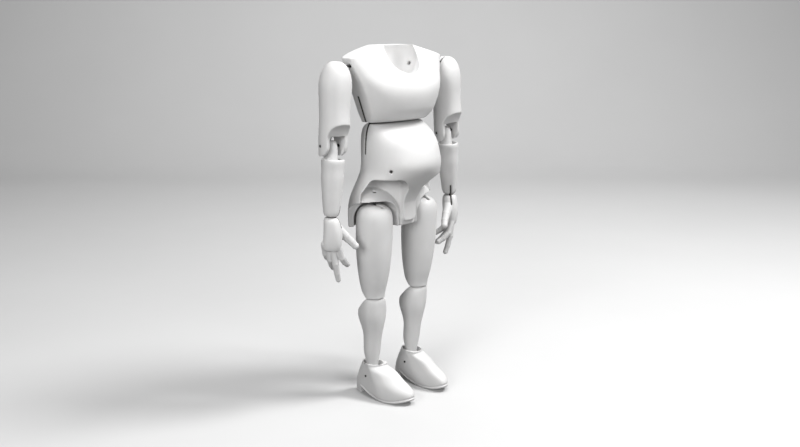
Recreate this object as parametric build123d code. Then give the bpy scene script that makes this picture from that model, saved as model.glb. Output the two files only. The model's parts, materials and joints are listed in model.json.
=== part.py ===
"""Jointed humanoid figure kit: a headless standing figure in white printed parts.

Millimetres.  +Z is up, the figure faces -Y, and its left side is +X.  The origin is on the
floor, in the middle of the figure's box.  Left-hand parts are modelled and then mirrored.
"""
from build123d import *
import os
from math import atan, cos, degrees, pi, radians, sin

os.makedirs("parts", exist_ok=True)

# ---- driving dimensions ---------------------------------------------------------------

RUNNING = 0.05           # radial clearance of a pin that turns in its bore
LOOSE = 0.3              # clearance round the leather straps
CORD_BORE_R = 2.75       # cord and link bore, through each flank into the neck seat

# chest
CHEST_BOTTOM = 398.0
CHEST_TOP = 500.5
CHEST_MID_Y = 12.0
SHOULDER_HALF = 91.0     # half width across the shoulder tips
SHOULDER_TIP_Z = 487.0
FLANK_SLOPE = 0.40       # sideways run of a flank for each millimetre of height
SHOULDER_Z = 474.4       # height of the cord bore
SHOULDER_Y = 12.0
NECK_SEAT_CENTRE = (0, 7, 486)
NECK_SEAT_RADII = (31, 25, 34)
NECKLINE_CENTRE = (0, -8, 490)
NECKLINE_RADII = (30, 24, 32)

# waist strap: one leather sheet across the body
STRAP_Y = 13.0
STRAP_THICK = 2.0
STRAP_TOP = 434.0
STRAP_BOTTOM = 354.0
STRAP_PIN_R = 1.6
STRAP_PIN_X = 30.0
STRAP_PIN_FRONT = 4.2
STRAP_PIN_BACK = 42.0
CHEST_PIN_Z = 416.0
BELLY_PIN_Z = 374.0

# belly and pelvis
BELLY_TOP = 395.5
PELVIS_BOTTOM = 253.0
BELLY_HOLE = (50.2, -29.3, 334)
BELLY_HOLE_R = 2.4
BELLY_HOLE_DEPTH = 14.1
HIP_X = 46.5
HIP_Y = 6.0
HIP_Z = 263.0
SOCKET_R = 28.5
HOOD_CENTRE = (6, 14, 273)    # in the hip's turned frame, ahead being -Y
HOOD_RADII = (40, 34, 34)
HOOD_TURN = 47.0         # how far the leg opening is turned outward from straight ahead
NOTCH_TOP = 322.0
NOTCH_CORNER_R = 12.0
ARCH_TOP = 289.5         # top of the leg opening
ARCH_CORNER_R = 25.0
CROTCH_HALF = 13.0
CROTCH_FRONT = -18.0
CROTCH_BOTTOM = 259.0
CROTCH_CORNER_R = 7.0

# hip hanger: an eye bolt
HANGER_R = 2.0
HANGER_HEAD_R = 2.7
HANGER_EYE_R = 4.5
HANGER_SEAT_Z = 300.0
HANGER_EYE_THICK = 4.0
HANGER_HOLE_TOP = 318.0  # the hanger's hole ends inside the belly, above its seat
CROSS_PIN_R = 1.5
CROSS_PIN_HALF = 15.0

# arm, modelled hanging straight and then tilted outward about the shoulder
ARM_X = 109.0
ARM_Y = 13.0
ARM_TILT = 3.5
EYE_X = 104.0            # shoulder cross pin
SHOULDER_PIN_R = 1.2
SHOULDER_PIN_FRONT = 2.0
SHOULDER_PIN_BACK = 24.0
SHOULDER_EYE_R = 4.2
ARM_TOP = 481.0
ELBOW_Z = 371.0
ELBOW_Y = ARM_Y + 5.5    # the elbow pin is behind the arm's middle
ELBOW_PIN_R = 2.0
ELBOW_PIN_HALF = 18.5
CHEEK_R = 13.5           # round end of each elbow cheek
FORK_HALF = 13.5         # half width of the elbow fork
TONGUE_HALF = 7.6
FOREARM_TOP = 354.0
WRIST_Z = 276.8
HAND_TURN = -38.0        # the left hand is turned inward
KNUCKLE = 1.05           # how much fuller a finger is at its joints
WRIST_STRAP_THICK = 1.6
WRIST_STRAP_TOP = 292.0
WRIST_STRAP_BOTTOM = 262.0
WRIST_PIN_R = 1.2
FOREARM_PIN_Z = 286.0
FOREARM_PIN_HALF = 7.0
HAND_PIN_Z = 267.5
HAND_PIN_HALF = 6.0

# leg
KNEE_X = 45.0
KNEE_Y = 10.0
KNEE_Z = 162.0
KNEE_SPLIT = 152.0       # height of the crease between thigh and shin
KNEE_PIN_R = 2.0
KNEE_PIN_HALF = 11.5
KNEE_TONGUE_HALF = 6.0
KNEE_TONGUE_R = 12.5
ANKLE_X = 41.0
ANKLE_Y = 17.5
ANKLE_Z = 35.0
ANKLE_PIN_R = 1.5
ANKLE_PIN_HALF = 14.0

# shoe
FLOOR = 5.0              # heights in this file are measured from 5 mm under the soles
SHOE_TOP = 54.0
BALL_Y = -14.0
HEEL_PINCH = 0.36        # how much narrower the heel is than the ball
HEEL_FRONT = 31.0
MOUTH_HALF = 11.6
MOUTH_FRONT = -1.0
MOUTH_BACK = 31.0
TOE_IN = 6.0

# the datum of this file, seen from the middle of the figure's box on the floor
DATUM = (0, 3.0, -FLOOR)


# ---- helpers --------------------------------------------------------------------------

def signed_power(value, power):
    """The size of a value raised to a power, with the value's sign kept."""
    size = abs(value) ** power
    return size if value >= 0 else -size


def ring(z, middle, half_width, front, back, squareness=2.0):
    """A closed level outline: an oval about middle, with its own front and back reach."""
    points = []
    steps = 20
    for step in range(steps):
        turn = 2 * pi * step / steps
        x = half_width * signed_power(cos(turn), 2 / squareness)
        side = sin(turn)
        reach = back if side >= 0 else front
        y = reach * signed_power(side, 2 / squareness)
        points.append((middle[0] + x, middle[1] + y, z))
    return Wire([Spline(*points, periodic=True)])


def stack(rings):
    """A smooth solid through level outlines, from the first to the last."""
    return Part() + Solid.make_loft(rings)


def rod(start, end, radius):
    """A round bar between two points."""
    start = Vector(*start)
    end = Vector(*end)
    plane = Plane(origin=start, z_dir=end - start)
    return Part() + Solid.make_cylinder(radius, (end - start).length, plane)


def cross_rod(middle, half_length, radius):
    """A round bar along X, centred on a point."""
    x, y, z = middle
    return rod((x - half_length, y, z), (x + half_length, y, z), radius)


def block(low, high):
    """A box between two corners."""
    size = [top - bottom for bottom, top in zip(low, high)]
    middle = [(top + bottom) / 2 for bottom, top in zip(low, high)]
    return Pos(*middle) * Box(*size)


def ellipsoid(middle, radii):
    """An ellipsoid with its axes along X, Y and Z."""
    ball = Solid.make_sphere(1.0)
    matrix = Matrix([[radii[0], 0, 0, middle[0]], [0, radii[1], 0, middle[1]],
                     [0, 0, radii[2], middle[2]]])
    return Part() + ball.transform_geometry(matrix)


def side_profile(points, low_x, high_x):
    """A prism along X, from a closed outline of (y, z) points."""
    face = make_face(Polyline(*[(low_x, y, z) for y, z in points], close=True))
    return extrude(face, amount=high_x - low_x, dir=(1, 0, 0))


def front_profile(points, low_y, high_y):
    """A prism along Y, from a closed outline of (x, z) points."""
    face = make_face(Polyline(*[(x, low_y, z) for x, z in points], close=True))
    return extrude(face, amount=high_y - low_y, dir=(0, 1, 0))


# ---- chest ----------------------------------------------------------------------------

def flank_x(z):
    """Half width between the flats of the flanks at a height."""
    return SHOULDER_HALF + FLANK_SLOPE * (z - SHOULDER_TIP_Z)


def flank_cutter():
    """Everything outside the left flank's slanted plane."""
    slant = degrees(atan(FLANK_SLOPE))
    return Pos(SHOULDER_HALF, 0, SHOULDER_TIP_Z) * Rot(0, slant, 0) * Pos(50, 0, 0) * Box(100, 200, 400)


def make_chest_block():
    """The ribcage: ovals flattened at the flanks, under shoulders that slope to the neck."""
    levels = [
        # z, front reach, back reach
        (CHEST_BOTTOM, 20, 20),
        (407, 36, 23.5),
        (420, 43.5, 26.5),
        (436, 46, 28.5),
        (450, 42.5, 29),
        (463, 33, 29.5),
        (475, 24, 30),
        (485, 17, 30),
        (493, 12, 28.5),
        (CHEST_TOP, 8, 24),
    ]
    rings = []
    for z, front, back in levels:
        rings.append(ring(z, (0, CHEST_MID_Y), flank_x(z) + 3, front, back, 2.3))
    chest = stack(rings)
    slope = [(27, CHEST_TOP), (SHOULDER_HALF, SHOULDER_TIP_Z - 2.5), (130, 474), (130, 530), (27, 530)]
    for cutter in (flank_cutter(), front_profile(slope, -100, 100)):
        chest = chest - cutter - mirror(cutter, about=Plane.YZ)
    return chest


def waist_sheet(low_z, high_z, half_width=100.0, margin=0.0):
    """The waist strap's level of leather between two heights, widened by a margin for its slots."""
    half = STRAP_THICK / 2 + margin
    return block((-half_width, STRAP_Y - half, low_z), (half_width, STRAP_Y + half, high_z))


def make_chest(chest_block):
    chest = chest_block - ellipsoid(NECK_SEAT_CENTRE, NECK_SEAT_RADII)
    chest -= ellipsoid(NECKLINE_CENTRE, NECKLINE_RADII)
    chest -= cross_rod((0, SHOULDER_Y, SHOULDER_Z), 100, CORD_BORE_R)
    chest -= waist_sheet(CHEST_BOTTOM - 5, STRAP_TOP + LOOSE, margin=LOOSE)
    for side in (-1, 1):
        x = side * STRAP_PIN_X
        chest -= rod((x, 4, CHEST_PIN_Z), (x, 60, CHEST_PIN_Z), STRAP_PIN_R)
    return chest


# ---- belly and pelvis -----------------------------------------------------------------

def make_torso_block():
    """Belly and pelvis as one smooth stack, before the leg openings."""
    levels = [
        # z, half width, middle y, half depth, squareness
        (PELVIS_BOTTOM, 74, 16, 30.5, 3.2),
        (264, 74.5, 16, 31, 3.2),
        (280, 74.5, 15, 32, 3.2),
        (294, 72.5, 13, 34, 3.0),
        (306, 69, 9, 38, 2.7),
        (318, 64, 4, 44, 2.4),
        (330, 59.5, 0, 49, 2.2),
        (345, 58.5, -1, 51, 2.1),
        (360, 58, 1, 49, 2.1),
        (374, 56.5, 4, 44, 2.2),
        (384, 54.5, 8, 36, 2.3),
        (391, 52, 11, 26, 2.5),
        (BELLY_TOP, 49.5, 13, 13, 2.6),
    ]
    return stack([ring(z, (0, y), half, depth, depth, square) for z, half, y, depth, square in levels])


def turned_about_hip(shape):
    """Turn a shape about the left hip's upright line so that its front faces the leg opening."""
    return Pos(HIP_X, HIP_Y, 0) * Rot(0, 0, HOOD_TURN) * shape


def hood():
    """A dome on upright walls: the cap of material over the left hip, in the hip's turned frame."""
    outline = make_face([
        Line((0, -1.2), (1, -1.2)),
        Line((1, -1.2), (1, 0)),
        ThreePointArc((1, 0), (cos(pi / 4), sin(pi / 4)), (0, 1)),
        Line((0, 1), (0, -1.2)),
    ])
    dome = revolve(Plane.XZ * outline, axis=Axis.Z)
    matrix = Matrix([[HOOD_RADII[0], 0, 0, HOOD_CENTRE[0]], [0, HOOD_RADII[1], 0, HOOD_CENTRE[1]],
                     [0, 0, HOOD_RADII[2], HOOD_CENTRE[2]]])
    return Part() + dome.solid().transform_geometry(matrix)


def make_notch():
    """The recess between the belly's lower edge and the hip hood, left side."""
    section = [(-47, 235), (-47, NOTCH_TOP), (3, NOTCH_TOP), (18, 301), (18, 235)]
    channel = front_profile(section, -90, 12)
    corners = channel.edges().filter_by(Axis.Y)
    for x in (-47, 3):
        corner = corners.sort_by_distance((x, -39, NOTCH_TOP))[0]
        channel = fillet([corner], NOTCH_CORNER_R)
        corners = channel.edges().filter_by(Axis.Y)
    channel = turned_about_hip(channel) - turned_about_hip(hood())
    return channel & block((CROTCH_HALF, -100, 200), (120, 100, 400))


def arch(low_x, high_x, top):
    """A tunnel that runs ahead from the origin, with rounded upper corners."""
    tunnel = block((low_x, -70, 225), (high_x, 0, top))
    return fillet(tunnel.edges().filter_by(Axis.Y).group_by(Axis.Z)[-1], ARCH_CORNER_R)


def leg_opening_cutters():
    """The left thigh's socket and the arched ways out of it, ahead and outward."""
    profile = make_face([
        Line((0, 230), (SOCKET_R, 230)),
        Line((SOCKET_R, 230), (SOCKET_R, HIP_Z)),
        ThreePointArc((SOCKET_R, HIP_Z), (SOCKET_R * cos(pi / 4), HIP_Z + SOCKET_R * sin(pi / 4)),
                      (0, HIP_Z + SOCKET_R)),
        Line((0, HIP_Z + SOCKET_R), (0, 230)),
    ])
    socket = Pos(HIP_X, HIP_Y, 0) * revolve(Plane.XZ * profile, axis=Axis.Z)
    ahead = Pos(HIP_X, HIP_Y - 1.5, 0) * arch(-27, 35, ARCH_TOP + 1)
    outer_side = block((CROTCH_HALF, -100, 200), (140, 100, 400))
    outward = turned_about_hip(Pos(0, -1, 0) * arch(-37, 40, ARCH_TOP)) & outer_side
    return [socket, outward, ahead]


def make_pelvis(torso):
    normal = Vector(0.796, -0.605, 0).normalized()
    mouth = Vector(*BELLY_HOLE)
    cutters = [make_notch()]
    cutters += leg_opening_cutters()
    hole_top = (HIP_X, HIP_Y, HANGER_HOLE_TOP)
    cutters.append(rod((HIP_X, HIP_Y, 275), hole_top, HANGER_R + RUNNING))
    cutters.append(rod((HIP_X, HIP_Y, HANGER_SEAT_Z), hole_top, HANGER_HEAD_R + RUNNING))
    cutters.append(rod(mouth - normal * BELLY_HOLE_DEPTH, mouth + normal * 20, BELLY_HOLE_R))
    body = torso
    for cutter in cutters:
        body = body - cutter - mirror(cutter, about=Plane.YZ)
    crotch = block((-CROTCH_HALF, CROTCH_FRONT, CROTCH_BOTTOM), (CROTCH_HALF, 10, 300))
    body += fillet(crotch.edges().filter_by(Axis.Y).group_by(Axis.Z)[0], CROTCH_CORNER_R)
    body -= waist_sheet(STRAP_BOTTOM - LOOSE, BELLY_TOP + 10, margin=LOOSE)
    for side in (-1, 1):
        x = side * STRAP_PIN_X
        body -= rod((x, 4, BELLY_PIN_Z), (x, 70, BELLY_PIN_Z), STRAP_PIN_R)
    return body


def make_waist_strap(chest_block, torso):
    sheet = waist_sheet(STRAP_BOTTOM, STRAP_TOP)
    strap = (sheet & chest_block) + (sheet & torso)
    strap += waist_sheet(BELLY_TOP - 1, CHEST_BOTTOM + 1, half_width=49)
    for x in (-STRAP_PIN_X, STRAP_PIN_X):
        for z in (CHEST_PIN_Z, BELLY_PIN_Z):
            strap -= rod((x, 0, z), (x, 30, z), STRAP_PIN_R + LOOSE)
    return strap


def strap_pins(z):
    """The pair of pins through the waist strap at a height."""
    right = rod((-STRAP_PIN_X, STRAP_PIN_FRONT, z), (-STRAP_PIN_X, STRAP_PIN_BACK, z), STRAP_PIN_R)
    return right + mirror(right, about=Plane.YZ)


def make_hip_hanger():
    hanger = rod((HIP_X, HIP_Y, HIP_Z), (HIP_X, HIP_Y, HANGER_SEAT_Z + 1), HANGER_R)
    hanger += rod((HIP_X, HIP_Y, HANGER_SEAT_Z), (HIP_X, HIP_Y, HANGER_SEAT_Z + 2), HANGER_HEAD_R)
    hanger += cross_rod((HIP_X, HIP_Y, HIP_Z), HANGER_EYE_THICK / 2, HANGER_EYE_R)
    hanger -= cross_rod((HIP_X, HIP_Y, HIP_Z), HANGER_EYE_THICK, CROSS_PIN_R + RUNNING)
    return hanger


# ---- leg ------------------------------------------------------------------------------

def make_thigh():
    levels = [
        # z, radius
        (KNEE_SPLIT, 15.6),
        (160, 16.6),
        (172, 19.2),
        (195, 22.8),
        (220, 25.0),
        (245, 25.7),
        (HIP_Z, 25.4),
        (HIP_Z + 8, 24.6),
        (HIP_Z + 14, 22.4),
        (HIP_Z + 18.5, 18.2),
        (HIP_Z + 21.2, 12.0),
        (HIP_Z + 22, 5.0),
    ]
    rings = []
    for z, radius in levels:
        rise = min(1.0, max(0.0, (z - KNEE_Z) / (HIP_Z - KNEE_Z)))
        middle = (KNEE_X + (HIP_X - KNEE_X) * rise, KNEE_Y + (HIP_Y - KNEE_Y) * rise)
        rings.append(ring(z, middle, radius, radius, radius))
    thigh = stack(rings)
    half = HANGER_EYE_THICK / 2 + 0.6
    # the slot is open ahead so that the thigh can swing forward past the upright hanger
    slot = [(-5.3, -5.2), (-5.3, 2.4), (-27, 30.2), (-27, 34), (8.7, 34), (5.3, 1), (5.3, -5.2)]
    thigh -= side_profile([(HIP_Y + y, HIP_Z + z) for y, z in slot], HIP_X - half, HIP_X + half)
    thigh -= cross_rod((HIP_X, HIP_Y, HIP_Z), CROSS_PIN_HALF, CROSS_PIN_R)
    # the back is bevelled and slotted so that the shin can fold up behind it
    bevel = [(0, KNEE_SPLIT), (40, KNEE_SPLIT + 40), (40, KNEE_SPLIT - 5), (0, KNEE_SPLIT - 5)]
    thigh -= side_profile([(KNEE_Y + y, z) for y, z in bevel], 0, 90)
    low = KNEE_X - KNEE_TONGUE_HALF - 0.4
    high = KNEE_X + KNEE_TONGUE_HALF + 0.4
    clear = KNEE_TONGUE_R + 0.8
    thigh -= rod((low, KNEE_Y, KNEE_Z), (high, KNEE_Y, KNEE_Z), clear)
    thigh -= block((low, KNEE_Y - clear, KNEE_SPLIT - 5), (high, KNEE_Y + 40, KNEE_Z + 2))
    thigh -= cross_rod((KNEE_X, KNEE_Y, KNEE_Z), KNEE_PIN_HALF, KNEE_PIN_R)
    return thigh


def make_shin():
    levels = [
        # z, middle x, middle y, half width, front, back
        (26, ANKLE_X, ANKLE_Y, 8.5, 8.0, 8.0),
        (34, ANKLE_X, ANKLE_Y, 9.8, 9.8, 9.8),
        (60, ANKLE_X + 0.2, ANKLE_Y - 0.5, 10.0, 10.0, 10.0),
        (85, 41.8, 15.2, 12.6, 12.0, 13.5),
        (103, 42.0, 13.4, 14.4, 13.4, 17.5),
        (120, 42.4, 11.6, 18.2, 14.6, 25.5),
        (134, 43.0, 10.6, 19.0, 14.8, 25.5),
        (145, 44.0, KNEE_Y, 17.4, 14.6, 19.5),
        (KNEE_SPLIT - 0.8, KNEE_X, KNEE_Y, 14.2, 13.8, 14.2),
    ]
    shin = stack([ring(z, (x, y), half, front, back) for z, x, y, half, front, back in levels])
    bevel = [(1, KNEE_SPLIT), (40, KNEE_SPLIT - 39), (40, KNEE_SPLIT + 5), (1, KNEE_SPLIT + 5)]
    shin -= side_profile([(KNEE_Y + y, z) for y, z in bevel], 0, 90)
    low = KNEE_X - KNEE_TONGUE_HALF
    high = KNEE_X + KNEE_TONGUE_HALF
    tongue = cross_rod((KNEE_X, KNEE_Y, KNEE_Z), KNEE_TONGUE_HALF, KNEE_TONGUE_R)
    tongue &= block((low, KNEE_Y - KNEE_TONGUE_R, KNEE_Z - 4), (high, KNEE_Y + KNEE_TONGUE_R, KNEE_Z + 20))
    tongue += block((low, KNEE_Y - 10.5, KNEE_SPLIT - 16), (high, KNEE_Y + 4, KNEE_Z - 2))
    shin += tongue
    shin -= cross_rod((KNEE_X, KNEE_Y, KNEE_Z), 40, KNEE_PIN_R + RUNNING)
    shin -= cross_rod((ANKLE_X, ANKLE_Y, ANKLE_Z), 40, ANKLE_PIN_R + RUNNING)
    return shin


def shoe_ring(z, front, back, half):
    """A level outline of the left shoe: widest at the ball, narrow at the heel, toe turned in."""
    middle = min(BALL_Y + 0.5 * z, (front + back) / 2)
    points = []
    steps = 24
    for step in range(steps):
        turn = 2 * pi * step / steps
        side = signed_power(sin(turn), 0.88)
        across = half * signed_power(cos(turn), 0.88)
        if side >= 0:
            y = middle + (back - middle) * side
            across *= 1 - HEEL_PINCH * side
            lean = 0.0
        else:
            y = middle + (middle - front) * side
            lean = TOE_IN * side ** 2
        points.append((ANKLE_X + across - lean, y, z))
    return Wire([Spline(*points, periodic=True)])


def make_shoe():
    levels = [
        # z, front y, back y, half width
        (FLOOR, -52.0, 46.5, 15.6),
        (10, -55.5, 47.6, 17.0),
        (17, -56.5, 47.8, 17.4),
        (23, -54.5, 46.8, 17.2),
        (30, -45.5, 44.6, 16.6),
        (38, -31.5, 41.4, 15.8),
        (46, -16.5, 37.4, 14.8),
        (SHOE_TOP, -3.5, 33.4, 13.6),
    ]
    shoe = stack([shoe_ring(z, front, back, half) for z, front, back, half in levels])
    # underside: heel block, notch in front of it, ball of the foot and toe spring
    under = Spline((HEEL_FRONT, FLOOR + 10), (18, FLOOR + 7), (0, FLOOR + 1.8), (-20, FLOOR),
                   (-38, FLOOR + 2), (-60, FLOOR + 9))
    low = FLOOR - 5
    edges = [
        Line((HEEL_FRONT, low), (HEEL_FRONT, FLOOR + 10)),
        under,
        Line((-60, FLOOR + 9), (-60, low)),
        Line((-60, low), (HEEL_FRONT, low)),
    ]
    shoe -= extrude(Plane.YZ * make_face(edges), amount=90)
    middle_y = (MOUTH_FRONT + MOUTH_BACK) / 2
    half_depth = (MOUTH_BACK - MOUTH_FRONT) / 2
    mouth = stack([
        ring(24, (ANKLE_X, ANKLE_Y), 10.8, 13.0, 12.0),
        ring(40, (ANKLE_X, middle_y + 1), 11.0, half_depth - 1, half_depth - 1.5),
        ring(SHOE_TOP + 1, (ANKLE_X, middle_y), MOUTH_HALF, half_depth, half_depth),
    ])
    shoe -= mouth
    shoe -= cross_rod((ANKLE_X, ANKLE_Y, ANKLE_Z), 40, ANKLE_PIN_R)
    return shoe


# ---- arm, hanging straight down at ARM_X ----------------------------------------------

def make_arm_block():
    levels = [
        # z, half width, front, back
        (350, 19.6, 22.0, 19.0),
        (372, 20.0, 23.0, 19.6),
        (392, 20.0, 23.4, 20.0),
        (412, 20.0, 21.4, 20.0),
        (432, 21.2, 21.2, 21.0),
        (446, 22.0, 21.6, 21.6),
        (457, 21.4, 21.0, 21.0),
        (467, 18.8, 18.8, 18.8),
        (475, 14.2, 14.6, 14.6),
        (479.6, 8.6, 9.4, 9.4),
        (ARM_TOP, 3.0, 3.4, 3.4),
    ]
    return stack([ring(z, (ARM_X, ARM_Y), half, front, back) for z, half, front, back in levels])


def make_upper_arm():
    arm = make_arm_block()
    # the lower front is scooped away and the cheeks end in rounds about the elbow pin
    front = ELBOW_Y - CHEEK_R
    low = ELBOW_Z - CHEEK_R
    scoop = make_face([
        Line((-40, 340), (-40, 402)),
        Line((-40, 402), (ARM_Y - 23, 400)),
        Spline((ARM_Y - 23, 400), (front - 7, 396), (front, 384)),
        Line((front, 384), (front, ELBOW_Z)),
        ThreePointArc((front, ELBOW_Z), (ELBOW_Y - CHEEK_R * sin(pi / 4), ELBOW_Z - CHEEK_R * cos(pi / 4)),
                      (ELBOW_Y, low)),
        Line((ELBOW_Y, low), (60, low)),
        Line((60, low), (60, 340)),
        Line((60, 340), (-40, 340)),
    ])
    arm -= Pos(ARM_X - 40, 0, 0) * extrude(Plane.YZ * scoop, amount=80)
    fork = block((ARM_X - FORK_HALF, -40, 340), (ARM_X + FORK_HALF, ARM_Y + 16, 376))
    fork += cross_rod((ARM_X, ELBOW_Y - 2.5, 376), FORK_HALF, 13)
    arm -= fork
    arm -= cross_rod((ARM_X, ELBOW_Y, ELBOW_Z), 40, ELBOW_PIN_R)
    slot = [(4.8, -4.8), (-4.6, -4.8), (-6.2, -1.9), (-40, -1.9), (-40, 38), (4.8, 4.8)]
    arm -= front_profile([(EYE_X + x, SHOULDER_Z + z) for x, z in slot], SHOULDER_Y - 1.9, SHOULDER_Y + 1.9)
    arm -= rod((EYE_X, SHOULDER_PIN_FRONT, SHOULDER_Z), (EYE_X, 50, SHOULDER_Z), SHOULDER_PIN_R)
    return arm


def make_shoulder_link():
    """A collar that turns in the flank's bore, a thin neck, and an eye inside the arm."""
    link = rod((60, SHOULDER_Y, SHOULDER_Z), (79, SHOULDER_Y, SHOULDER_Z), CORD_BORE_R - RUNNING)
    link += rod((78, SHOULDER_Y, SHOULDER_Z), (EYE_X, SHOULDER_Y, SHOULDER_Z), 1.4)
    eye_front = (EYE_X, SHOULDER_Y - 1.5, SHOULDER_Z)
    link += rod(eye_front, (EYE_X, SHOULDER_Y + 1.5, SHOULDER_Z), SHOULDER_EYE_R)
    link -= rod((EYE_X, 0, SHOULDER_Z), (EYE_X, 30, SHOULDER_Z), SHOULDER_PIN_R + RUNNING)
    return link


def make_forearm_block():
    levels = [
        # z, radius
        (WRIST_Z + 0.8, 7.5),
        (279.5, 9.6),
        (284, 11.0),
        (295, 12.2),
        (315, 14.0),
        (335, 15.0),
        (348, 15.7),
        (352, 15.6),
        (FOREARM_TOP, 14.8),
    ]
    return stack([ring(z, (ARM_X, ARM_Y), radius, radius, radius) for z, radius in levels])


def make_forearm(forearm_block):
    forearm = forearm_block
    recess = stack([
        ring(FOREARM_TOP - 4, (ARM_X, ARM_Y), 12.0, 12.0, 12.0),
        ring(FOREARM_TOP + 1, (ARM_X, ARM_Y), 13.2, 13.2, 13.2),
    ])
    forearm -= recess
    tongue = stack([
        ring(FOREARM_TOP - 8, (ARM_X, ELBOW_Y - 2), TONGUE_HALF + 0.8, 9.5, 9.0, 2.6),
        ring(FOREARM_TOP + 4, (ARM_X, ELBOW_Y - 1), TONGUE_HALF + 0.4, 9.0, 9.0, 2.6),
        ring(ELBOW_Z, (ARM_X, ELBOW_Y), TONGUE_HALF, 8.8, 8.8, 2.6),
        ring(ELBOW_Z + 7, (ARM_X, ELBOW_Y), TONGUE_HALF - 1.4, 6.4, 6.4, 2.2),
    ])
    forearm += tongue
    forearm -= cross_rod((ARM_X, ELBOW_Y, ELBOW_Z), 40, ELBOW_PIN_R + RUNNING)
    return forearm


# ---- hand, modelled with the thumb ahead (-Y) and the palm inward (-X) ----------------

def finger(start, lean_y, lengths, bends, radii):
    """Tapered segments joined by balls; each bend is the tilt of a segment towards the palm."""
    joint = Vector(*start)
    shape = Part() + Pos(joint) * Sphere(radii[0])
    for length, bend, near, far in zip(lengths, bends, radii, radii[1:]):
        direction = Vector(-sin(radians(bend)), lean_y, -cos(radians(bend))).normalized()
        plane = Plane(origin=joint, z_dir=direction)
        shape += Part() + Solid.make_cone(near, far, length, plane)
        joint = joint + direction * length
        shape += Pos(joint) * Sphere(far * KNUCKLE)
    return shape


def make_hand_block():
    levels = [
        # z, middle y, half thickness, half width
        (WRIST_Z - 0.6, 0, 6.4, 8.0),
        (273, -0.6, 9.6, 10.2),
        (266, -1.8, 11.0, 11.6),
        (256, -2.8, 11.2, 12.4),
        (244, -2.8, 10.4, 12.8),
        (236, -2.4, 8.8, 12.4),
        (231, -2.0, 6.0, 10.8),
    ]
    palm = stack([ring(z, (0, y), thick, wide, wide, 2.4) for z, y, thick, wide in levels])
    rows = [
        # y and z of the knuckle, sideways lean, length scale, bend of each segment
        (-10.4, 238.0, -0.26, 0.92, (22, 50, 62)),
        (-4.0, 236.0, -0.14, 1.10, (8, 18, 24)),
        (2.4, 236.5, -0.09, 0.94, (20, 44, 56)),
        (7.8, 240.0, -0.05, 0.78, (28, 54, 64)),
    ]
    for y, z, lean, scale, bends in rows:
        lengths = [length * scale for length in (21, 13.5, 9.5)]
        palm += finger((1.0, y, z), lean, lengths, bends, (4.9, 4.5, 4.1, 3.6))
    palm += finger((-4, -8.5, 260), -0.90, (15, 12, 8), (30, 26, 18), (7.6, 6.0, 5.2, 4.6))
    return palm


def place_hand(shape):
    return Pos(ARM_X, ARM_Y, 0) * Rot(0, 0, HAND_TURN) * shape


def wrist_sheet(margin):
    """The wrist strap's sheet across the hand, widened by a margin for its slots."""
    half = WRIST_STRAP_THICK / 2 + margin
    return block((-half, -40, WRIST_STRAP_BOTTOM - margin), (half, 40, WRIST_STRAP_TOP + margin))


def make_left_arm():
    """The left arm's parts by name, before the arm is tilted."""
    parts = {}
    forearm_block = make_forearm_block()
    hand_block = place_hand(make_hand_block())
    sheet = place_hand(wrist_sheet(0))
    slot = place_hand(wrist_sheet(LOOSE))
    strap_half = WRIST_STRAP_THICK / 2
    neck = place_hand(block((-strap_half, -6.5, WRIST_Z - 2), (strap_half, 6.5, WRIST_Z + 2)))
    below_wrist = place_hand(block((-20, -30, WRIST_STRAP_BOTTOM), (20, 30, WRIST_Z)))
    strap = (sheet & forearm_block) + (sheet & hand_block & below_wrist) + neck
    for z in (FOREARM_PIN_Z, HAND_PIN_Z):
        strap -= place_hand(cross_rod((0, 0, z), 20, WRIST_PIN_R + LOOSE))
    forearm_pin = place_hand(cross_rod((0, 0, FOREARM_PIN_Z), FOREARM_PIN_HALF, WRIST_PIN_R))
    hand_pin = place_hand(cross_rod((0, 0, HAND_PIN_Z), HAND_PIN_HALF, WRIST_PIN_R))
    shoulder_pin_back = (EYE_X, SHOULDER_PIN_BACK, SHOULDER_Z)
    parts["upper_arm"] = make_upper_arm()
    parts["forearm"] = make_forearm(forearm_block) - slot - forearm_pin
    parts["hand"] = hand_block - slot - hand_pin
    parts["wrist_strap"] = strap
    parts["forearm_strap_pin"] = forearm_pin
    parts["hand_strap_pin"] = hand_pin
    parts["elbow_pin"] = cross_rod((ARM_X, ELBOW_Y, ELBOW_Z), ELBOW_PIN_HALF, ELBOW_PIN_R)
    parts["shoulder_cross_pin"] = rod((EYE_X, SHOULDER_PIN_FRONT, SHOULDER_Z), shoulder_pin_back,
                                      SHOULDER_PIN_R)
    return parts


def make_left_leg():
    """The left leg's parts by name."""
    parts = {}
    parts["thigh"] = make_thigh()
    parts["shin"] = make_shin()
    parts["shoe"] = make_shoe()
    parts["hip_hanger"] = make_hip_hanger()
    parts["hip_cross_pin"] = cross_rod((HIP_X, HIP_Y, HIP_Z), CROSS_PIN_HALF, CROSS_PIN_R)
    parts["knee_pin"] = cross_rod((KNEE_X, KNEE_Y, KNEE_Z), KNEE_PIN_HALF, KNEE_PIN_R)
    parts["ankle_pin"] = cross_rod((ANKLE_X, ANKLE_Y, ANKLE_Z), ANKLE_PIN_HALF, ANKLE_PIN_R)
    return parts


def tilt_arm(shape):
    """Tilt a left arm part outward about the shoulder cross pin."""
    return Pos(EYE_X, 0, SHOULDER_Z) * Rot(0, -ARM_TILT, 0) * Pos(-EYE_X, 0, -SHOULDER_Z) * shape


# ---- the kit --------------------------------------------------------------------------

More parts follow.
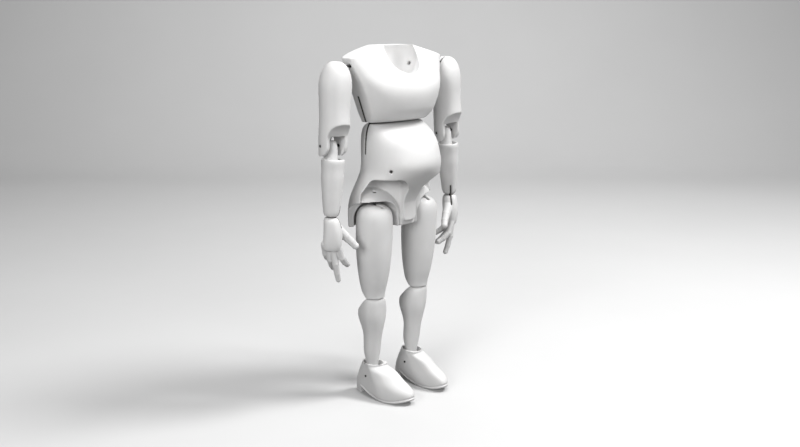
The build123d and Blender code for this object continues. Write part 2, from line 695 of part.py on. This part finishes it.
chest_block = make_chest_block()
torso_block = make_torso_block()
nodes = {
    "chest": make_chest(chest_block),
    "belly_pelvis": make_pelvis(torso_block),
    "waist_strap": make_waist_strap(chest_block, torso_block),
    "chest_strap_pins": strap_pins(CHEST_PIN_Z),
    "belly_strap_pins": strap_pins(BELLY_PIN_Z),
}
left_parts = {name: tilt_arm(shape) for name, shape in make_left_arm().items()}
left_parts["shoulder_link"] = make_shoulder_link()
left_parts.update(make_left_leg())
for name, shape in left_parts.items():
    nodes["left_" + name] = shape
    nodes["right_" + name] = mirror(shape, about=Plane.YZ)

for name, shape in nodes.items():
    export_step(Pos(*DATUM) * shape, f"parts/{name}.step")
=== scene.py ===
"""A headless jointed figure in white printed parts, with leather hinges, on a pale studio floor.

Metres, in the row frame: +Z is up, the figure faces -Y and its left side is +X.
"""

import json
from math import cos, pi, radians, sin

import bmesh
import bpy
import numpy as np
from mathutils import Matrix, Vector


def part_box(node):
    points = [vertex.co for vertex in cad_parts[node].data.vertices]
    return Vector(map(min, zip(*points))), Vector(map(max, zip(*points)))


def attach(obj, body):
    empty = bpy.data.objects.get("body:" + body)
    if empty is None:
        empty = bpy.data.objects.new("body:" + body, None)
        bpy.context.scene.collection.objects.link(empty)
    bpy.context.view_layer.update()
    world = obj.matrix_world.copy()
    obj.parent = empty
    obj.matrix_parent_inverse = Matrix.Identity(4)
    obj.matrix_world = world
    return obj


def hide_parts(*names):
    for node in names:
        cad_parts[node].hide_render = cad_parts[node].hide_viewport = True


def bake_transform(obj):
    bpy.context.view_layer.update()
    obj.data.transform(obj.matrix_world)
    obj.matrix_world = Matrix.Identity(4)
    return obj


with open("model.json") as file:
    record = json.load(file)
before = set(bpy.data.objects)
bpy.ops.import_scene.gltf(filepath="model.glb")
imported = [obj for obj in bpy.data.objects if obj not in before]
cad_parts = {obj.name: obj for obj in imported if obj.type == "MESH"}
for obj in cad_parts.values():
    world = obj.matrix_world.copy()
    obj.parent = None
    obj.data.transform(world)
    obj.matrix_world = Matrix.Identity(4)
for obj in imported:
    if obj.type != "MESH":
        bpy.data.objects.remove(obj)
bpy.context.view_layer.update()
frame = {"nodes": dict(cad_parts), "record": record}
nodes = frame["nodes"]
MM = 0.001

# ---- camera ---------------------------------------------------------------------------

CAMERA_PLACE = (-1.0090, -0.9407, 0.537)
CAMERA_TURN = (radians(78.14), 0, radians(-46.88))
CAMERA_LENS = 45


def add_camera():
    data = bpy.data.cameras.new("camera")
    data.lens = CAMERA_LENS
    data.sensor_width = 36
    camera = bpy.data.objects.new("camera", data)
    camera.location = CAMERA_PLACE
    camera.rotation_euler = CAMERA_TURN
    bpy.context.scene.collection.objects.link(camera)
    bpy.context.scene.camera = camera


# ---- node helpers ---------------------------------------------------------------------

class Nodes:
    """A short way to write a material's node tree."""

    def __init__(self, name):
        self.material = bpy.data.materials.new(name)
        self.material.use_nodes = True
        self.tree = self.material.node_tree
        self.shader = self.tree.nodes["Principled BSDF"]
        self.place = self.tree.nodes.new("ShaderNodeTexCoord").outputs["Object"]

    def add(self, kind, settings=(), **inputs):
        node = self.tree.nodes.new(kind)
        for key, value in dict(settings).items():
            setattr(node, key, value)
        for key, value in inputs.items():
            socket = node.inputs[key.replace("_", " ")]
            if isinstance(value, bpy.types.NodeSocket):
                self.tree.links.new(value, socket)
            else:
                socket.default_value = value
        return node

    def link(self, output, socket_name):
        self.tree.links.new(output, self.shader.inputs[socket_name])

    def noise(self, scale, detail=3.0, roughness=0.5, vector=None):
        node = self.add("ShaderNodeTexNoise", Vector=vector or self.place, Scale=scale,
                        Detail=detail, Roughness=roughness)
        return node.outputs["Fac"]

    def ramp(self, value, stops):
        node = self.add("ShaderNodeValToRGB", Fac=value)
        elements = node.color_ramp.elements
        for element, (place, colour) in zip(elements, (stops[0], stops[-1])):
            element.position = place
            element.color = colour
        for place, colour in stops[1:-1]:
            elements.new(place).color = colour
        return node.outputs["Color"]

    def spread(self, value, low, high):
        """A 0 to 1 value mapped to run from low to high."""
        node = self.add("ShaderNodeMapRange", Value=value)
        node.inputs["To Min"].default_value = low
        node.inputs["To Max"].default_value = high
        return node.outputs["Result"]

    def bump(self, height, strength, distance, below=None):
        node = self.add("ShaderNodeBump", Height=height, Strength=strength, Distance=distance)
        if below is not None:
            self.tree.links.new(below, node.inputs["Normal"])
        return node.outputs["Normal"]


def grey(value, warmth=0.0):
    return (value * (1 + warmth), value, value * (1 - warmth), 1.0)


def white_print():
    """Matt white printed plastic, sanded: faint print layers, fine grain and slight mottling."""
    m = Nodes("white_print")
    mottle = m.noise(28, 4)
    m.link(m.ramp(mottle, [(0.3, grey(0.635, 0.004)), (0.7, grey(0.68, 0.006))]), "Base Color")
    m.link(m.spread(m.noise(90, 4), 0.42, 0.60), "Roughness")
    m.shader.inputs["Specular IOR Level"].default_value = 0.42
    m.shader.inputs["Subsurface Weight"].default_value = 0.06
    m.shader.inputs["Subsurface Radius"].default_value = (0.004, 0.0036, 0.0032)
    layers = m.add("ShaderNodeTexWave", {"bands_direction": "Z", "wave_profile": "SIN"},
                   Vector=m.place, Scale=800.0, Distortion=0.6, Detail=1.0)
    fine = m.bump(layers.outputs["Fac"], 0.10, 0.00005)
    grain = m.bump(m.noise(1900, 2), 0.22, 0.00008, fine)
    m.link(m.bump(m.noise(110, 3), 0.16, 0.0006, grain), "Normal")
    return m.material


def black_leather():
    """Thin black leather: cells of grain, a dull sheen and slightly browner high spots."""
    m = Nodes("black_leather")
    cells = m.add("ShaderNodeTexVoronoi", {"feature": "SMOOTH_F1"}, Vector=m.place, Scale=900.0)
    grain = cells.outputs["Distance"]
    browner = [(0.35, grey(0.012, 0.1)), (0.7, grey(0.035, 0.16))]
    m.link(m.ramp(m.noise(160, 4), browner), "Base Color")
    m.link(m.spread(m.noise(300, 3), 0.45, 0.7), "Roughness")
    m.shader.inputs["Sheen Weight"].default_value = 0.12
    m.link(m.bump(grain, 0.5, 0.0002, m.bump(m.noise(120, 3), 0.3, 0.0006)), "Normal")
    return m.material


def dark_steel():
    """Blackened steel pins, drawn along their length and rubbed brighter in places."""
    m = Nodes("dark_steel")
    rubbed = m.noise(220, 5, 0.6)
    m.link(m.ramp(rubbed, [(0.35, grey(0.035)), (0.75, grey(0.11, 0.02))]), "Base Color")
    m.shader.inputs["Metallic"].default_value = 0.85
    m.link(m.spread(m.noise(500, 3), 0.28, 0.52), "Roughness")
    m.link(m.bump(m.noise(1500, 2), 0.2, 0.00006), "Normal")
    return m.material


def floor_paper():
    """Seamless pale studio paper with a barely visible tooth."""
    m = Nodes("floor_paper")
    m.link(m.ramp(m.noise(3, 3), [(0.3, grey(0.595)), (0.7, grey(0.61))]), "Base Color")
    m.link(m.spread(m.noise(40, 3), 0.75, 0.9), "Roughness")
    m.link(m.bump(m.noise(900, 2), 0.08, 0.0002), "Normal")
    return m.material


MATERIALS = {
    "white_print": white_print(),
    "black_leather": black_leather(),
    "dark_steel": dark_steel(),
}

# ---- stage ----------------------------------------------------------------------------

SWEEP_BACK = 1.9        # how far behind the figure the paper starts to rise
SWEEP_RADIUS = 0.9      # of the curve between the floor and the upright back
SWEEP_HALF = 4.0        # half of the paper's width
SWEEP_FRONT = 3.0       # how far it comes forward of the figure
SWEEP_HEIGHT = 3.0
SWEEP_STEPS = 16        # flat strips round the curve

LIGHTS = [
    # name, place, target, diameter, watts
    ("key", (0.95, -0.95, 1.95), (0, 0, 0.25), 0.7, 48),
    ("overhead", (-0.25, -0.35, 2.1), (0, 0, 0.1), 0.9, 17),
    ("left_fill", (-1.9, -0.55, 1.0), (0, 0, 0.25), 0.8, 19),
    ("front_fill", (-0.7, -1.9, 0.8), (0, 0, 0.25), 0.8, 12),
    ("backdrop", (0.9, 1.0, 2.3), (2.3, 1.6, 0.6), 1.6, 25),
]
ROOM_LIGHT = 0.15


def add_stage():
    """A seamless sweep of paper: level under the figure, curving up behind it."""
    profile = [(-SWEEP_FRONT, 0.0), (SWEEP_BACK, 0.0)]
    for step in range(1, SWEEP_STEPS + 1):
        turn = step / SWEEP_STEPS * pi / 2
        profile.append((SWEEP_BACK + SWEEP_RADIUS * sin(turn), SWEEP_RADIUS * (1 - cos(turn))))
    profile.append((SWEEP_BACK + SWEEP_RADIUS, SWEEP_HEIGHT))
    mesh = bpy.data.meshes.new("studio_sweep")
    points = []
    for along, up in profile:
        points += [(-SWEEP_HALF, along, up), (SWEEP_HALF, along, up)]
    faces = [(2 * i, 2 * i + 1, 2 * i + 3, 2 * i + 2) for i in range(len(profile) - 1)]
    mesh.from_pydata(points, [], faces)
    mesh.materials.append(floor_paper())
    mesh.polygons.foreach_set("use_smooth", [True] * len(faces))
    sweep = bpy.data.objects.new("studio_sweep", mesh)
    sweep.rotation_euler = (0, 0, CAMERA_TURN[2])
    bpy.context.scene.collection.objects.link(sweep)
    # no light thrown back up from the paper, so that the shaded sides stay dark
    sweep.visible_diffuse = False


def add_light(name, place, target, size, power):
    """A round soft light that faces its target."""
    data = bpy.data.lights.new(name, "AREA")
    data.shape = "DISK"
    data.size = size
    data.energy = power
    light = bpy.data.objects.new(name, data)
    light.location = place
    light.rotation_euler = (Vector(target) - Vector(place)).to_track_quat("-Z", "Y").to_euler()
    bpy.context.scene.collection.objects.link(light)


def add_lights():
    for light in LIGHTS:
        add_light(*light)
    world = bpy.data.worlds.new("studio")
    world.use_nodes = True
    background = world.node_tree.nodes["Background"]
    background.inputs["Color"].default_value = (1, 1, 1, 1)
    background.inputs["Strength"].default_value = ROOM_LIGHT
    bpy.context.scene.world = world
    bpy.context.scene.view_settings.view_transform = "Standard"


# ---- pieces from the CAD parts --------------------------------------------------------

BODY_OF = {}
for body_name, members in frame["record"]["behaviour"]["bodies"].items():
    for member in members:
        BODY_OF[member] = body_name
SLOT_OF = {part["node"]: part["material_slot"] for part in frame["record"]["subparts"]}
WELD_REACH = 0.002 * MM


def welded_copy(node, name):
    """A copy of a CAD part's mesh, with its split corners joined."""
    work = bmesh.new()
    work.from_mesh(nodes[node].data)
    bmesh.ops.remove_doubles(work, verts=work.verts, dist=WELD_REACH)
    mesh = bpy.data.meshes.new(name)
    work.to_mesh(mesh)
    work.free()
    piece = bpy.data.objects.new(name, mesh)
    bpy.context.scene.collection.objects.link(piece)
    return piece


def remeshed(piece, voxel, rounds):
    """The piece rebuilt as an even skin and relaxed, so that its hard edges are softly rounded."""
    remesh = piece.modifiers.new("even_skin", "REMESH")
    remesh.mode = "VOXEL"
    remesh.voxel_size = voxel * MM
    relax = piece.modifiers.new("relax", "SMOOTH")
    relax.factor = 0.5
    relax.iterations = rounds
    graph = bpy.context.evaluated_depsgraph_get()
    mesh = bpy.data.meshes.new_from_object(piece.evaluated_get(graph))
    piece.modifiers.clear()
    piece.data = mesh
    mesh.polygons.foreach_set("use_smooth", [True] * len(mesh.polygons))
    return piece


def points_of(piece):
    count = len(piece.data.vertices)
    flat = np.empty(count * 3, np.float32)
    piece.data.vertices.foreach_get("co", flat)
    return flat.reshape(-1, 3).astype(float)


def normals_of(piece):
    flat = np.empty(len(piece.data.vertices) * 3, np.float32)
    piece.data.vertices.foreach_get("normal", flat)
    return flat.reshape(-1, 3).astype(float)


def put_points(piece, points):
    piece.data.vertices.foreach_set("co", points.astype(np.float32).ravel())
    piece.data.update()


def smooth_step(value, start, end):
    share = np.clip((value - start) / (end - start), 0, 1)
    return share * share * (3 - 2 * share)


def finish_piece(piece, node):
    """Material from the CAD part's slot, for a piece that stands for that part; the CAD part is
    hidden.
    """
    piece.data.materials.clear()
    piece.data.materials.append(MATERIALS[SLOT_OF[node]])
    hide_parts(node)


# for each kind of part, the size of its even skin's cells in millimetres, and rounds of relaxing
PRINTED = {
    "chest": (0.95, 9),
    "belly_pelvis": (0.95, 9),
    "upper_arm": (0.85, 8),
    "forearm": (0.8, 7),
    "hand": (0.55, 9),
    "thigh": (0.95, 7),
    "shin": (0.8, 8),
    "shoe": (0.75, 5),
}


def add_printed_parts():
    """Every white part, with its edges softened."""
    for node in list(nodes):
        kind = node.replace("left_", "").replace("right_", "")
        if kind not in PRINTED:
            continue
        voxel, rounds = PRINTED[kind]
        piece = remeshed(welded_copy(node, node + "_shell"), voxel, rounds)
        if kind == "shoe":
            add_welt(piece, node)
        finish_piece(piece, node)
        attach(piece, BODY_OF[node])


# the shoe's underside seen from the side, from the toe to the heel's front
UNDERSIDE_Y = np.array([-57, -35, -17, 3, 21, 34]) * MM
UNDERSIDE_Z = np.array([9, 2, 0, 1.8, 7, 10]) * MM
WELT_THICK = 2.6 * MM
WELT_PROUD = 0.9 * MM
GROOVE_DEEP = 0.8 * MM
RIM_TALL = 1.8 * MM
RIM_PROUD = 0.3 * MM


def add_welt(piece, node):
    """A welt round the sole with a groove above it, and a rolled rim round the shoe's mouth."""
    points = points_of(piece)
    normals = normals_of(piece)
    curve = np.polyfit(UNDERSIDE_Y, UNDERSIDE_Z, 4)
    under = np.where(points[:, 1] < UNDERSIDE_Y[-1], np.polyval(curve, points[:, 1]), 0.0)
    above = points[:, 2] - under
    side = np.clip(1 - np.abs(normals[:, 2]), 0, 1)
    welt = 1 - smooth_step(above, WELT_THICK * 0.8, WELT_THICK * 1.2)
    groove = smooth_step(above, WELT_THICK, WELT_THICK * 1.35)
    groove *= 1 - smooth_step(above, WELT_THICK * 1.5, WELT_THICK * 2.0)
    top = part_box(node)[1].z
    rim = smooth_step(points[:, 2], top - RIM_TALL, top - RIM_TALL * 0.5)
    push = side * (WELT_PROUD * welt - GROOVE_DEEP * groove + RIM_PROUD * rim)
    level = normals.copy()
    level[:, 2] = 0
    put_points(piece, points + level * push[:, None])


# ---- straps ---------------------------------------------------------------------------

WAIST_LEATHER = (0.6, 4)
WRIST_LEATHER = (0.45, 4)


def add_waist_strap():
    """The waist strap, in the gap between the belly's top and the chest's underside, baked in
    place.
    """
    strap = remeshed(welded_copy("waist_strap", "waist_strap_leather"), *WAIST_LEATHER)
    finish_piece(strap, "waist_strap")
    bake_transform(strap)


def add_wrist_straps():
    """The wrist straps, remeshed from the CAD straps and baked in place."""
    for side in ("left", "right"):
        node = side + "_wrist_strap"
        strap = remeshed(welded_copy(node, node + "_leather"), *WRIST_LEATHER)
        finish_piece(strap, node)
        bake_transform(strap)


# ---- plain CAD parts that stay --------------------------------------------------------

def dress_cad_parts():
    """Pins, hangers and links keep their CAD meshes and get their materials."""
    for node, part in nodes.items():
        if not part.hide_render:
            part.data.materials.clear()
            part.data.materials.append(MATERIALS[SLOT_OF[node]])
            part.data.polygons.foreach_set("material_index", [0] * len(part.data.polygons))


add_camera()
add_stage()
add_lights()
add_printed_parts()
add_waist_strap()
add_wrist_straps()
dress_cad_parts()
